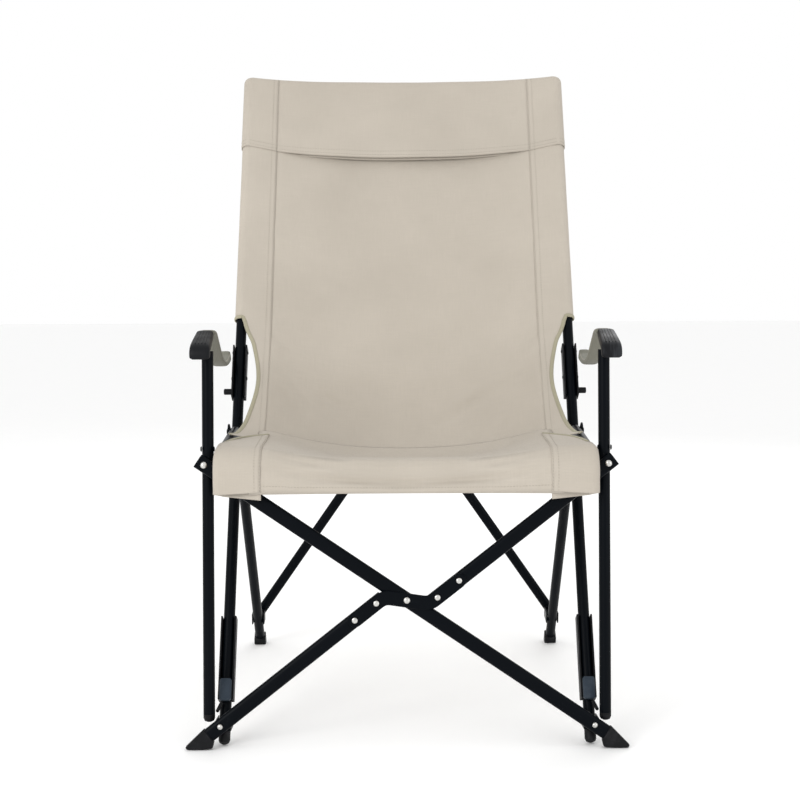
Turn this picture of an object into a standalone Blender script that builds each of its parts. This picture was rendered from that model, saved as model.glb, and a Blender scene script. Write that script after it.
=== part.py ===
"""High-back camp armchair with a bundle-folding steel frame and a canvas sling.

Metres, +Z up. The sitter faces -Y, X runs across the chair, and the origin is the middle of
the footprint on the ground. Front crossed legs, rear crossed legs and two side frames fold
together sideways. Side parts are named left_ (-X) and right_ (+X).
"""
from math import atan2, cos, pi, radians, sin

import bmesh
import bpy
from mathutils import Matrix, Vector

# ---- driving dimensions -------------------------------------------------------------------
FRONT_DATUM_Y = -0.2797      # where the back tubes' axes meet the ground
BACK_TILT = radians(29.5)    # back tubes, from vertical
POST_TILT = radians(5.0)     # arm posts and front crossed legs, from vertical
TUBE_X = 0.250               # side frames' tubes, from the middle
POST_X = 0.270               # arm posts, from the middle
TUBE_R = 0.008
WALL = 0.0014
GAP = 0.0003                 # between pieces that touch
BACK_TUBE_LENGTH = 1.088

LOW_RIVET = (0.2535, 0.030)  # front crossed legs: lower rivets (across, up)
HIGH_RIVET = (0.2737, 0.384)
BAR_HALF_WIDTH = 0.010
BAR_HALF_DEPTH = 0.005
BAR_DEPTH = -0.0137          # the bars' mid plane, in front of the post axes
BAR_OFFSET = 0.0225          # how far the split leg's halves pass the centre rivet
PLATE_RIVETS = (0.035, 0.072)
PLATE_BEND = 0.0215          # from the middle, along each half, to the plate's bends

SIDE_JOINT = 0.4550          # along the back tube, to the gusset's middle
PIVOT_OFFSET = 0.026         # seat rail and rear leg pivots, in front of and behind the tube
REAR_FOOT = (0.562, 0.016)   # rear leg's lower end (behind the front datum, up)
REAR_LOW_Z = 0.052           # rear crossed legs' lower rivets
REAR_HIGH = 0.8847           # along the back tube, to their upper rivets
REAR_LOW_X = 0.250
REAR_HIGH_X = 0.243
REAR_DEPTHS = {"a": 0.0270, "b": 0.0376}

ARM_X = 0.2757               # arms' middle, a little outside the posts
ARM_WIDTH = 0.0272

RAIL_HEIGHT = 0.3997
RAIL_FRONT = 0.002           # the rail's upright front end, behind the front datum
RAIL_BEND = 0.036
RAIL_LOW = 0.354

X, Y, Z = Vector((1, 0, 0)), Vector((0, 1, 0)), Vector((0, 0, 1))
SIDES = {"left": -1, "right": 1}

for old in list(bpy.data.objects):
    bpy.data.objects.remove(old, do_unlink=True)
CHAIR = bpy.data.collections.new("camp_armchair")
bpy.context.scene.collection.children.link(CHAIR)

# ---- materials ----------------------------------------------------------------------------
FINISHES = {  # base colour, roughness, metallic
    "frame_paint": ((0.010, 0.012, 0.017), 0.38, 0.3),
    "rivet_steel": ((0.60, 0.60, 0.57), 0.28, 1.0),
    "black_plastic": ((0.012, 0.012, 0.014), 0.50, 0.0),
    "slider_plastic": ((0.035, 0.048, 0.066), 0.48, 0.0),
    "canvas": ((0.60, 0.55, 0.49), 0.90, 0.0),
    "arm_webbing": ((0.27, 0.27, 0.22), 0.88, 0.0),
}


def finish(slot):
    """The Principled material of one slot, made once."""
    if slot in bpy.data.materials:
        return bpy.data.materials[slot]
    colour, roughness, metallic = FINISHES[slot]
    material = bpy.data.materials.new(slot)
    material.use_nodes = True
    shader = material.node_tree.nodes["Principled BSDF"]
    shader.inputs["Base Color"].default_value = (*colour, 1)
    shader.inputs["Roughness"].default_value = roughness
    shader.inputs["Metallic"].default_value = metallic
    return material


# ---- placing ------------------------------------------------------------------------------
def basis(origin, x_axis, y_axis):
    """A frame at origin with the given local x and y axes."""
    x_axis, y_axis = Vector(x_axis).normalized(), Vector(y_axis).normalized()
    matrix = Matrix((x_axis, y_axis, x_axis.cross(y_axis))).transposed().to_4x4()
    matrix.translation = origin
    return matrix


def leaning(tilt):
    """A frame on the front datum whose z axis leans back by tilt."""
    return Matrix.Translation((0, FRONT_DATUM_Y, 0)) @ Matrix.Rotation(-tilt, 4, "X")


def side_point(across, behind, up):
    return Vector((across, FRONT_DATUM_Y + behind, up))


FRONT = leaning(POST_TILT)   # local x across, y behind the post axes, z up the posts
BACK = leaning(BACK_TILT)    # local y behind the back tubes, z along them

SEAT_PIVOT = BACK @ Vector((0, -PIVOT_OFFSET, SIDE_JOINT))
LEG_PIVOT = BACK @ Vector((0, PIVOT_OFFSET, SIDE_JOINT))
LEG_END = side_point(0, *REAR_FOOT)
LEG_LINE = LEG_END - LEG_PIVOT
REAR_LOW = LEG_PIVOT + LEG_LINE * ((REAR_LOW_Z - LEG_PIVOT.z) / LEG_LINE.z)
REAR_TOP = BACK @ Vector((0, 0, REAR_HIGH))
REAR_LINE = REAR_TOP - REAR_LOW
REAR_TILT = atan2(REAR_LINE.y, REAR_LINE.z)
REAR = Matrix.Translation(REAR_LOW) @ Matrix.Rotation(-REAR_TILT, 4, "X")


# ---- shapes -------------------------------------------------------------------------------
def arc(centre, radius, start, end, steps):
    turn = (end - start) / steps
    return [
        (centre[0] + radius * cos(start + n * turn), centre[1] + radius * sin(start + n * turn))
        for n in range(steps + 1)
    ]


def circle(radius, sides=16):
    return arc((0, 0), radius, 0, 2 * pi * (sides - 1) / sides, sides - 1)


def stadium(half_width, half_depth, steps=6):
    reach = half_width - half_depth
    return arc((reach, 0), half_depth, -pi / 2, pi / 2, steps) + arc(
        (-reach, 0), half_depth, pi / 2, 3 * pi / 2, steps
    )


def rectangle(low_x, high_x, low_y, high_y):
    return [(low_x, low_y), (high_x, low_y), (high_x, high_y), (low_x, high_y)]


def band(path, half_width, round_ends=0):
    """The outline of a band of even width along a path, with mitred corners."""
    path = [Vector(p) for p in path]
    left, right = [], []
    for n, point in enumerate(path):
        before = (point - path[n - 1]).normalized() if n else None
        after = (path[n + 1] - point).normalized() if n + 1 < len(path) else None
        way = ((before or after) + (after or before)).normalized()
        reach = half_width / (way.dot(before or after))
        normal = Vector((-way.y, way.x)) * reach
        left.append(point + normal)
        right.append(point - normal)
    ends = []
    if round_ends:
        for end, towards in ((path[-1], path[-1] - path[-2]), (path[0], path[0] - path[1])):
            heading = atan2(towards.y, towards.x)
            cap = arc(end, half_width, heading - pi / 2, heading + pi / 2, round_ends)
            ends.append(cap[1:-1])
        return right + ends[0] + left[::-1] + ends[1]
    return right + left[::-1]


def rounded(before, corner, after, reach=0.009, steps=4):
    """Points that round a path's corner."""
    start = corner + (before - corner).normalized() * reach
    end = corner + (after - corner).normalized() * reach
    shares = [n / steps for n in range(steps + 1)]
    return [start * (1 - f) ** 2 + corner * (2 * f * (1 - f)) + end * f ** 2 for f in shares]


def keep(name, mesh, slot, matrix):
    """Put a mesh in the chair as a named object."""
    obj = bpy.data.objects.new(name, mesh)
    CHAIR.objects.link(obj)
    obj.matrix_world = matrix
    mesh.materials.clear()
    mesh.materials.append(finish(slot))
    mesh.shade_smooth()
    mesh.set_sharp_from_angle(angle=radians(35))
    return obj


def mesh_of(curve):
    """The welded mesh of a curve, which is removed."""
    holder = bpy.data.objects.new("outline", curve)
    CHAIR.objects.link(holder)
    graph = bpy.context.evaluated_depsgraph_get()
    mesh = bpy.data.meshes.new_from_object(holder.evaluated_get(graph))
    bpy.data.objects.remove(holder)
    bpy.data.curves.remove(curve)
    work = bmesh.new()
    work.from_mesh(mesh)
    bmesh.ops.remove_doubles(work, verts=work.verts, dist=1e-6)
    bmesh.ops.recalc_face_normals(work, faces=work.faces)
    work.to_mesh(mesh)
    work.free()
    return mesh


def flat_curve(outlines, thickness, filled):
    curve = bpy.data.curves.new("outline", "CURVE")
    curve.dimensions = "2D"
    curve.fill_mode = "BOTH" if filled else "NONE"
    curve.extrude = thickness / 2
    for outline in outlines:
        spline = curve.splines.new("POLY")
        spline.points.add(len(outline) - 1)
        for point, corner in zip(spline.points, outline):
            point.co = (corner[0], corner[1], 0, 1)
        spline.use_cyclic_u = True
    return mesh_of(curve)


def plate(name, slot, outlines, thickness, matrix, edge=0.0):
    """A flat outline, with any holes, given a thickness and slightly rounded edges."""
    obj = keep(name, flat_curve(outlines, thickness, True), slot, matrix)
    if edge:
        bevel = obj.modifiers.new("edge", "BEVEL")
        bevel.width, bevel.segments = edge, 1
        bevel.limit_method, bevel.angle_limit = "ANGLE", radians(40)
    return obj


def hollow(obj, wall):
    shell = obj.modifiers.new("wall", "SOLIDIFY")
    shell.thickness, shell.offset = wall, -1
    shell.use_even_offset = True
    return obj


def along(start, end, x_axis=X):
    """A frame halfway from start to end, with local z along the way."""
    start, end = Vector(start), Vector(end)
    way = (end - start).normalized()
    across = (Vector(x_axis) - way * way.dot(x_axis)).normalized()
    return basis((start + end) / 2, across, way.cross(across)), (end - start).length


def straight_tube(name, slot, start, end, outline, x_axis=X):
    matrix, length = along(start, end, x_axis)
    return hollow(keep(name, flat_curve([outline], length, False), slot, matrix), WALL)


def bent_tube(name, slot, points, radius, wall=None, sides_step=4):
    """A round tube or, without a wall, a rod through points."""
    curve = bpy.data.curves.new(name, "CURVE")
    curve.dimensions = "3D"
    curve.bevel_depth, curve.bevel_resolution = radius, sides_step
    curve.use_fill_caps = wall is None
    spline = curve.splines.new("POLY")
    spline.points.add(len(points) - 1)
    for point, place in zip(spline.points, points):
        point.co = (*place, 1)
    obj = keep(name, mesh_of(curve), slot, Matrix())
    return hollow(obj, wall) if wall else obj


def turned(name, slot, profile, place, steps=12):
    """A profile of (radius, height) from the top down, turned about place's z axis."""
    work = bmesh.new()
    verts = [work.verts.new((r, 0, h)) for r, h in profile]
    for above, below in zip(verts, verts[1:]):
        work.edges.new((above, below))
    bmesh.ops.spin(work, geom=work.verts[:] + work.edges[:], axis=(0, 0, 1), cent=(0, 0, 0),
                   angle=2 * pi, steps=steps, use_merge=True)
    bmesh.ops.remove_doubles(work, verts=work.verts, dist=1e-6)
    bmesh.ops.recalc_face_normals(work, faces=work.faces)
    mesh = bpy.data.meshes.new(name)
    work.to_mesh(mesh)
    work.free()
    return keep(name, mesh, slot, place)


def dome(radius, height, steps=3):
    """A rivet head's profile: a low dome with a flat underside."""
    rise = [(radius * sin(a), height * cos(a)) for a in (pi / 2 * n / steps for n in range(steps + 1))]
    return rise[:-1] + [(radius, 0.0), (0.0, 0.0)]


def facing(point, normal):
    """A frame at point whose z axis is normal."""
    normal = Vector(normal).normalized()
    other = X if abs(normal.x) < 0.9 else Y
    return basis(point, other - normal * normal.dot(other), normal.cross(other))


# ---- front crossed legs -------------------------------------------------------------------
def front_point(across, depth, up):
    return FRONT @ Vector((across, depth, up))


LOW = Vector(LOW_RIVET)
HIGH = Vector(HIGH_RIVET)
CENTRE = Vector((0, LOW.y + (HIGH.y - LOW.y) * LOW.x / (LOW.x + HIGH.x)))
BAR_OUTLINE = stadium(BAR_HALF_WIDTH, BAR_HALF_DEPTH)
BAR_OVERRUN = 0.0105         # beyond an upper rivet
FOOT_OVERLAP = 0.019         # from a lower rivet to where the foot begins
FRONT_NORMAL = FRONT.to_3x3() @ -Y
PLATE_HALF = 0.001
PLATE_DEPTH = BAR_DEPTH - BAR_HALF_DEPTH - GAP - PLATE_HALF


def front_bar(name, start, end):
    a, b = front_point(start.x, BAR_DEPTH, start.y), front_point(end.x, BAR_DEPTH, end.y)
    across = (b - a).normalized().cross(FRONT_NORMAL)
    return straight_tube(name, "frame_paint", a, b, BAR_OUTLINE, across)


def passing(point, side):
    """The direction from point to the line's nearest approach, BAR_OFFSET from the centre."""
    to_centre = CENTRE - point
    swing = side * (BAR_OFFSET / to_centre.length)
    heading = atan2(to_centre.y, to_centre.x) + swing
    way = Vector((cos(heading), sin(heading)))
    return way, way.dot(to_centre)


low_left, high_right = Vector((-LOW.x, LOW.y)), Vector((HIGH.x, HIGH.y))
low_right, high_left = Vector((LOW.x, LOW.y)), Vector((-HIGH.x, HIGH.y))
way_up, reach_low = passing(low_left, 1)
way_down, reach_high = passing(high_right, 1)
TUBE_STOP = PLATE_RIVETS[0] - 0.011

front_bar("bar_a_lower_tube", low_left - way_up * FOOT_OVERLAP,
          low_left + way_up * (reach_low - TUBE_STOP))
front_bar("bar_a_upper_tube", high_right + way_down * (reach_high - TUBE_STOP),
          high_right - way_down * BAR_OVERRUN)
way_b = (high_left - low_right).normalized()
front_bar("bar_b_tube", low_right - way_b * FOOT_OVERLAP, high_left + way_b * BAR_OVERRUN)

low_end, low_bend = (low_left + way_up * (reach_low - q) for q in (PLATE_RIVETS[1], PLATE_BEND))
high_end, high_bend = (high_right + way_down * (reach_high - q) for q in (PLATE_RIVETS[1], PLATE_BEND))
plate_path = [low_end, *rounded(low_end, low_bend, high_bend),
              *rounded(low_bend, high_bend, high_end), high_end]
plate("z_plate", "frame_paint", [band(plate_path, 0.0098, 6)], 2 * PLATE_HALF,
      basis(front_point(0, PLATE_DEPTH, 0), X, FRONT.to_3x3() @ Z), 0.0006)

plate_face = PLATE_DEPTH - PLATE_HALF - GAP
bar_face = BAR_DEPTH - BAR_HALF_DEPTH - GAP


# pivot rivets: domed heads in front of the bars and of the plate
for name, rivet, depth, radius in (("centre_rivet", CENTRE, plate_face, 0.0047),
                                   ("left_low_rivet", low_left, bar_face, 0.0039),
                                   ("right_low_rivet", low_right, bar_face, 0.0039),
                                   ("left_high_rivet", high_left, bar_face, 0.0047),
                                   ("right_high_rivet", high_right, bar_face, 0.0047)):
    turned(name, "rivet_steel", dome(radius, 0.0022),
           facing(front_point(rivet.x, depth, rivet.y), FRONT_NORMAL))

# feet: blocks on the bars' lower ends, cut to a level sole
FOOT_DEPTH = 0.012
SOLE = -0.0007               # level with the ground where the leaning foot meets it
for name, rivet, way, side in (("left_front_foot", low_left, way_up, -1),
                               ("right_front_foot", low_right, way_b, 1)):
    root = rivet - way * (FOOT_OVERLAP + GAP)
    normal = Vector((-way.y, way.x)) * side
    top = root - normal * (BAR_HALF_WIDTH + 0.001)
    low = root + normal * (BAR_HALF_WIDTH + 0.001)
    foot = [top, low, Vector((low.x + side * 0.002, SOLE + 0.0015)),
            Vector((side * 0.277, SOLE)), Vector((side * 0.2985, SOLE)),
            Vector((side * 0.3005, SOLE + 0.0035))]
    foot = foot if side < 0 else foot[::-1]
    plate(name, "black_plastic", [foot], FOOT_DEPTH,
          basis(front_point(0, BAR_DEPTH, 0), X, FRONT.to_3x3() @ Z), 0.0012)

# ---- rear crossed legs --------------------------------------------------------------------
REAR_NORMAL = REAR.to_3x3() @ Y
REAR_LENGTH = REAR_LINE.length
REAR_HALF_WIDTH = 0.008


def rear_point(across, depth, up):
    return REAR @ Vector((across, depth, up))


for letter, side in (("a", -1), ("b", 1)):
    depth = REAR_DEPTHS[letter]
    start = rear_point(side * REAR_LOW_X, depth, 0)
    end = rear_point(-side * REAR_HIGH_X, depth, REAR_LENGTH)
    way = (end - start).normalized()
    straight_tube(f"rear_bar_{letter}", "frame_paint", start - way * 0.008, end + way * 0.008,
                  stadium(REAR_HALF_WIDTH, BAR_HALF_DEPTH), way.cross(REAR_NORMAL))
    # a clevis round the rear leg, with the bar pivoted on its back
    name = "left" if side < 0 else "right"
    base = depth - BAR_HALF_DEPTH - GAP
    inner, ear = TUBE_R + GAP, TUBE_R + GAP + 0.0022
    shape = [(-ear, -0.004), (-inner, -0.004), (-inner, base - 0.0025), (inner, base - 0.0025),
             (inner, -0.004), (ear, -0.004), (ear, base), (-ear, base)]
    plate(f"rear_knuckle_{name}", "frame_paint", [shape], 0.018,
          basis(rear_point(side * TUBE_X, 0, 0), X, REAR.to_3x3() @ Y), 0.0008)


# ---- side frames --------------------------------------------------------------------------
def u_channel(inner, outer, front, back):
    """A channel's section, open to the front, round a tube at the origin."""
    return [(-outer, front), (-inner, front), (-inner, inner), (inner, inner),
            (inner, front), (outer, front), (outer, back), (-outer, back)]


def tube_end(profile_radius, length):
    """A rounded plug's profile, standing on its flat top."""
    return [(0, 0), (profile_radius, 0), (profile_radius, -length + 0.005),
            (profile_radius * 0.8, -length + 0.0015), (profile_radius * 0.4, -length), (0, -length)]


SLEEVE_IN = 0.043            # from a tube's axis to its sleeve's seam
SLEEVE_R = 0.0104
SEAM_HALF = 0.0018


def sleeve_outlines(side):
    """A sleeve's section: round outside the tube, tapering to the seam inside it."""
    rounded = arc((0, 0), SLEEVE_R, -pi * 0.46, pi * 0.46, 8)
    taper = [(-SLEEVE_IN, SEAM_HALF), (-SLEEVE_IN, -SEAM_HALF)]
    outer = [(side * a, b) for a, b in rounded + taper]
    return [outer, circle(TUBE_R + 0.0005)]


for name, side in SIDES.items():
    at = Matrix.Translation((side * TUBE_X, 0, 0))
    local = BACK.copy()
    local.translation.x = side * TUBE_X
    turn = local.to_3x3()

    def on_tube(depth, s, across=0.0, local=local):
        return local @ Vector((across, depth, s))

    straight_tube(f"{name}_back_tube", "frame_paint", on_tube(0, 0.0225),
                  on_tube(0, BACK_TUBE_LENGTH), circle(TUBE_R))
    turned(f"{name}_tube_plug", "black_plastic", tube_end(TUBE_R, 0.0195),
           local @ Matrix.Translation((0, 0, 0.0222)))

    # gusset: a plate outside the tube that holds the seat rail and the rear leg
    gusset = basis((0, 0, 0), turn @ Y, turn @ Z)
    gusset.translation = on_tube(0, SIDE_JOINT, side * (TUBE_R + GAP + 0.001))
    plate(f"{name}_gusset", "frame_paint", [stadium(PIVOT_OFFSET + 0.011, 0.012)], 0.002, gusset)

    # rear leg
    pivot, foot = LEG_PIVOT + at.translation, LEG_END + at.translation
    straight_tube(f"{name}_rear_leg", "frame_paint", pivot, foot, circle(TUBE_R))
    down = (foot - pivot).normalized()
    corner = foot + down * GAP
    lift = Vector((0, down.z, -down.y)) * (TUBE_R + 0.001)
    shape = [corner + lift, corner - lift,
             side_point(0, REAR_FOOT[0] + 0.0175, 0.0025), side_point(0, REAR_FOOT[0] + 0.0155, 0),
             side_point(0, REAR_FOOT[0] - 0.001, 0), side_point(0, REAR_FOOT[0] - 0.004, 0.002)]
    plate(f"{name}_rear_foot", "black_plastic", [[(p.y, p.z) for p in shape]],
          2 * TUBE_R + 0.0032, basis(at.translation, Y, Z), 0.0012)

    # seat rail: from its pivot forward, then bent down in front
    pivot = SEAT_PIVOT + at.translation
    front_y = FRONT_DATUM_Y + RAIL_FRONT
    bend = arc((front_y + RAIL_BEND, RAIL_HEIGHT - RAIL_BEND), RAIL_BEND,
               radians(83), pi, 6)
    rail = [pivot] + [Vector((side * TUBE_X, y, z)) for y, z in bend]
    rail.append(Vector((side * TUBE_X, front_y, RAIL_LOW)))
    bent_tube(f"{name}_seat_rail", "frame_paint", rail, TUBE_R, WALL)
    turned(f"{name}_rail_plug", "black_plastic", tube_end(TUBE_R, 0.006),
           Matrix.Translation((side * TUBE_X, front_y, RAIL_LOW - GAP)))

    # arm post with its foot plug
    post = FRONT.copy()
    post.translation.x = side * POST_X
    straight_tube(f"{name}_arm_post", "frame_paint", post @ Vector((0, 0, 0.0440)),
                  post @ Vector((0, 0, 0.5385)), circle(TUBE_R))
    turned(f"{name}_post_plug", "black_plastic", tube_end(TUBE_R, 0.010),
           post @ Matrix.Translation((0, 0, 0.0437)))

    # slider on the lower back tube, its stop block and its link to the post
    channel = u_channel(TUBE_R + 0.0004, 0.0108, -0.0095, 0.0108)
    plate(f"{name}_slider", "black_plastic", [channel], 0.118,
          local @ Matrix.Translation((0, 0, 0.122)), 0.0006)
    plate(f"{name}_slider_block", "slider_plastic", [rectangle(-0.0082, 0.0082, -0.0185, -0.0098)],
          0.0305, local @ Matrix.Translation((0, 0, 0.0745)), 0.002)
    block = on_tube(-0.0145, 0.0562, side * 0.0045)
    post_side = post @ Vector((-side * (TUBE_R + 0.0030), 0.0, 0.048))
    middle = (block + post_side) / 2 + Vector((side * 0.001, 0.002, -0.002))
    bent_tube(f"{name}_slider_link", "black_plastic", [block, middle, post_side], 0.0024,
              sides_step=2)

    # clevis between the tube's foot and the bar's lower rivet
    clevis = FRONT.copy()
    clevis.translation = front_point(side * TUBE_X, 0, LOW.y)
    low, high = BAR_DEPTH + BAR_HALF_DEPTH + GAP, 0.0215
    ear, inner = 0.0103, TUBE_R + 0.0006
    shape = [(-ear, high), (-ear, low), (ear, low), (ear, high), (inner, high),
             (inner, low + 0.002), (-inner, low + 0.002), (-inner, high)]
    plate(f"{name}_knuckle", "frame_paint", [shape], 0.016, clevis, 0.0005)

    # arm: moulded cap on the post, padded webbing back to a bracket on the back tube
    cap = [(0.006, 0.530), (0.013, 0.528), (0.020, 0.5395), (0.082, 0.5555), (0.084, 0.5665),
           (0.078, 0.5685), (0.012, 0.5445), (0.006, 0.540)]
    cap = [(FRONT_DATUM_Y + y, z) for y, z in cap]
    plate(f"{name}_arm_cap", "black_plastic", [cap], ARM_WIDTH,
          basis((side * ARM_X, 0, 0), Y, Z), 0.0015)
    strap = [(0.0865, 0.5605), (0.130, 0.5435), (0.185, 0.5215), (0.235, 0.5085),
             (0.270, 0.5065), (0.298, 0.5105)]
    strap = [(FRONT_DATUM_Y + y, z) for y, z in strap]
    plate(f"{name}_arm_strap", "arm_webbing", [band(strap, 0.004)], ARM_WIDTH - 0.005,
          basis((side * (ARM_X - 0.0025), 0, 0), Y, Z), 0.0012)
    plate(f"{name}_arm_bracket", "black_plastic",
          [u_channel(TUBE_R + 0.0003, 0.0108, -0.0088, 0.0108)], 0.085,
          local @ Matrix.Translation((0, 0, 0.5640)), 0.0006)
    peg = [(0, 0.0112), (0.0037, 0.0112), (0.0046, 0.0102), (0.0046, 0), (0, 0)]
    turned(f"{name}_arm_peg", "black_plastic", peg,
           facing(on_tube(0, 0.5315, side * (0.0108 + GAP)), (side, 0, 0)), 14)

    # canvas sleeves
    low, high = 0.652, BACK_TUBE_LENGTH - 0.012
    plate(f"{name}_back_sleeve", "canvas", sleeve_outlines(side), high - low,
          local @ Matrix.Translation((0, 0, (low + high) / 2)))
    bend_top = rail[1]
    way = bend_top - pivot
    start, end = pivot + way * 0.32, pivot + way * 0.985
    matrix, length = along(start, end, X)
    plate(f"{name}_seat_sleeve", "canvas", sleeve_outlines(side), length, matrix)

# ---- canvas panels ------------------------------------------------------------------------
PANEL_HALF = TUBE_X - SLEEVE_IN - 0.0005
CLOTH_HALF = 0.0012


def side_band(name, slot, path, half_width, width):
    path = [(FRONT_DATUM_Y + y, z) for y, z in path]
    plate(name, slot, [band(path, half_width)], width, basis((0, 0, 0), Y, Z))


def behind_tubes(depth, s):
    """A side-view point at a depth behind the back tubes."""
    place = BACK @ Vector((0, depth, s))
    return place.y - FRONT_DATUM_Y, place.z


seat_path = [(0.045, 0.3965), (0.085, 0.386), (0.140, 0.375), (0.195, 0.3700), (0.235, 0.3745)]
PANEL_TOP = BACK_TUBE_LENGTH + 0.003
back_depths = ((0.030, 0.585), (0.026, 0.66), (0.020, 0.78), (0.014, 0.90), (0.010, PANEL_TOP))
back_path = [(0.2362, 0.3760), (0.268, 0.402), (0.298, 0.450)]
back_path += [behind_tubes(depth, s) for depth, s in back_depths]
side_band("seat_panel", "canvas", seat_path, CLOTH_HALF, 2 * PANEL_HALF)
side_band("back_panel", "canvas", back_path, CLOTH_HALF, 2 * PANEL_HALF)
pocket_path = [behind_tubes(depth, s) for depth, s in ((0.0088, 0.950), (0.0064, PANEL_TOP))]
side_band("head_pocket", "canvas", pocket_path, 0.001, 2 * PANEL_HALF - 0.002)
band_y = RAIL_FRONT - TUBE_R - 0.0012 - CLOTH_HALF
front_path = [(band_y + 0.001, 0.346), (band_y, 0.356), (band_y, 0.373), (band_y + 0.006, 0.394),
              (band_y + 0.017, 0.4085), (0.041, 0.4135)]
side_band("seat_front_band", "canvas", front_path, CLOTH_HALF, 2 * (TUBE_X + SLEEVE_R + 0.0002))
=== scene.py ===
"""Looks of the camp armchair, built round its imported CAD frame.

Metres, +Z up. The sitter faces -Y and X runs across. Side views are written as (behind, up):
behind the line where the back tubes' axes meet the ground, and up from the ground.
"""
import random
from math import acos, atan2, ceil, cos, exp, pi, radians, sin, sqrt

import bpy
from mathutils import Matrix, Vector


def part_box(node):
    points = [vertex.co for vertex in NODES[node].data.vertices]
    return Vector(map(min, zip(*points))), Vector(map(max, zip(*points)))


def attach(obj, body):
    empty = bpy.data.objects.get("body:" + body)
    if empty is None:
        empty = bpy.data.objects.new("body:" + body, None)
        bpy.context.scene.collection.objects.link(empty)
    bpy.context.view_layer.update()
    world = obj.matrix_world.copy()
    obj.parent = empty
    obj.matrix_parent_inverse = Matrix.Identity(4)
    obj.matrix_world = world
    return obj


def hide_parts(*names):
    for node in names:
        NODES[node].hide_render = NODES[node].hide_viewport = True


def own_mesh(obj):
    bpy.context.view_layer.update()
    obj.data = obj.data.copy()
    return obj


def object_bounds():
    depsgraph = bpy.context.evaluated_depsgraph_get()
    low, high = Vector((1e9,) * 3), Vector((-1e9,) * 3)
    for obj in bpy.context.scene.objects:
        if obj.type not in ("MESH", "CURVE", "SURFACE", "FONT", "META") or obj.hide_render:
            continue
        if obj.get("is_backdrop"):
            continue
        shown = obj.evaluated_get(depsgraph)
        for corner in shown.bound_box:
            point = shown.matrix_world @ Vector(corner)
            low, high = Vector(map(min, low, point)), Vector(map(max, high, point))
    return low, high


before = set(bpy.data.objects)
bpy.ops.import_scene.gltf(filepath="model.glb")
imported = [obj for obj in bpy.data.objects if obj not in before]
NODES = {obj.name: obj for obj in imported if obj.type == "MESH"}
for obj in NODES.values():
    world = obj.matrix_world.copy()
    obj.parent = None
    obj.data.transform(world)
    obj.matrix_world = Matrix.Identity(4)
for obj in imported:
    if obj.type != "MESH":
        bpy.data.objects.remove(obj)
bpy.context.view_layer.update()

X = Vector((1, 0, 0))
SIDES = {"left": -1, "right": 1}

# ---- the frame's dimensions that the fabric follows -------------------------------------
DATUM_Y = -0.2797            # where the back tubes' axes meet the ground
BACK_TILT = radians(29.5)
POST_TILT = radians(5.0)
TUBE_X = 0.250
POST_X = 0.270
TUBE_R = 0.008
RAIL_PIVOT = (0.2014, 0.4088)
RAIL_BEND = 0.026            # the fabric cuts the corner outside the rail's own bend
RAIL_BEND_CENTRE = (0.002 + RAIL_BEND, 0.3997 - RAIL_BEND)
RAIL_START = radians(83)     # where the bend leaves the rail's straight part

# ---- the fabric's dimensions ------------------------------------------------------------
CLOTH = 0.0009
SLEEVE_R = 0.0097            # the fabric round a tube
BACK_SEAM = 0.209            # middle of the back's double seam, from the middle
SEAT_SEAM = 0.2005
SEAM_GAP = 0.0074            # between a double seam's two rows
FLAP = 0.0015                # from a seam's inner row to the fold of the sleeve
SLEEVE_HIGH = 1.082          # the back sleeves' upper ends, along the back tube
HOOD_LOW = 0.952             # the head pocket's hem in the middle, along the back tubes
HOOD_HIGH = 1.1000
HEM_UP = 0.3465              # the front band's lower edge
MESH = 0.0062                # the fabric's grid


def spot(across, behind, up):
    return Vector((across, DATUM_Y + behind, up))


def by_tube(depth, s):
    """(behind, up) of a point at a depth behind the back tubes, s along them."""
    return s * sin(BACK_TILT) + depth * cos(BACK_TILT), s * cos(BACK_TILT) - depth * sin(BACK_TILT)


UP_FRONT = Vector((0, -0.8, 0.6))              # tells a sheet's seen side from its hidden one
BACK_NORMAL = Vector((0, -cos(BACK_TILT), sin(BACK_TILT)))     # out of the back, to the front
BAR_NORMAL = Vector((0, -cos(POST_TILT), sin(POST_TILT)))     # out of the front crossed legs


# ---- materials --------------------------------------------------------------------------
def node(tree, kind, inputs=None, **settings):
    """A shader node's first output, with its inputs linked or set."""
    made = tree.nodes.new("ShaderNode" + kind)
    for key, value in settings.items():
        setattr(made, key, value)
    for key, value in (inputs or {}).items():
        if isinstance(value, bpy.types.NodeSocket):
            tree.links.new(value, made.inputs[key])
        else:
            made.inputs[key].default_value = value
    return made.outputs[0]


def start_material(name, roughness, metallic=0.0, **sockets):
    made = bpy.data.materials.new(name)
    made.use_nodes = True
    shader = made.node_tree.nodes["Principled BSDF"]
    shader.inputs["Roughness"].default_value = roughness
    shader.inputs["Metallic"].default_value = metallic
    for key, value in sockets.items():
        shader.inputs[key.replace("_", " ")].default_value = value
    return made, made.node_tree, shader


def coordinates(tree, kind, stretch=(1, 1, 1)):
    made = tree.nodes.new("ShaderNodeTexCoord").outputs[kind]
    return node(tree, "Mapping", {"Vector": made, "Scale": stretch})


def noise(tree, vector, scale, detail=3.0, roughness=0.55):
    return node(tree, "TexNoise", {"Vector": vector, "Scale": scale, "Detail": detail,
                                   "Roughness": roughness})


def ramp(tree, value, low, high, out_low=0.0, out_high=1.0):
    return node(tree, "MapRange", {"Value": value, "From Min": low, "From Max": high,
                                   "To Min": out_low, "To Max": out_high})


def mix(tree, factor, a, b, blend="MIX"):
    made = tree.nodes.new("ShaderNodeMix")
    made.data_type, made.blend_type = "RGBA", blend
    for index, value in ((0, factor), (6, a), (7, b)):
        if isinstance(value, bpy.types.NodeSocket):
            tree.links.new(value, made.inputs[index])
        else:
            made.inputs[index].default_value = value if index == 0 else (*value, 1)
    return made.outputs[2]


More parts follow.
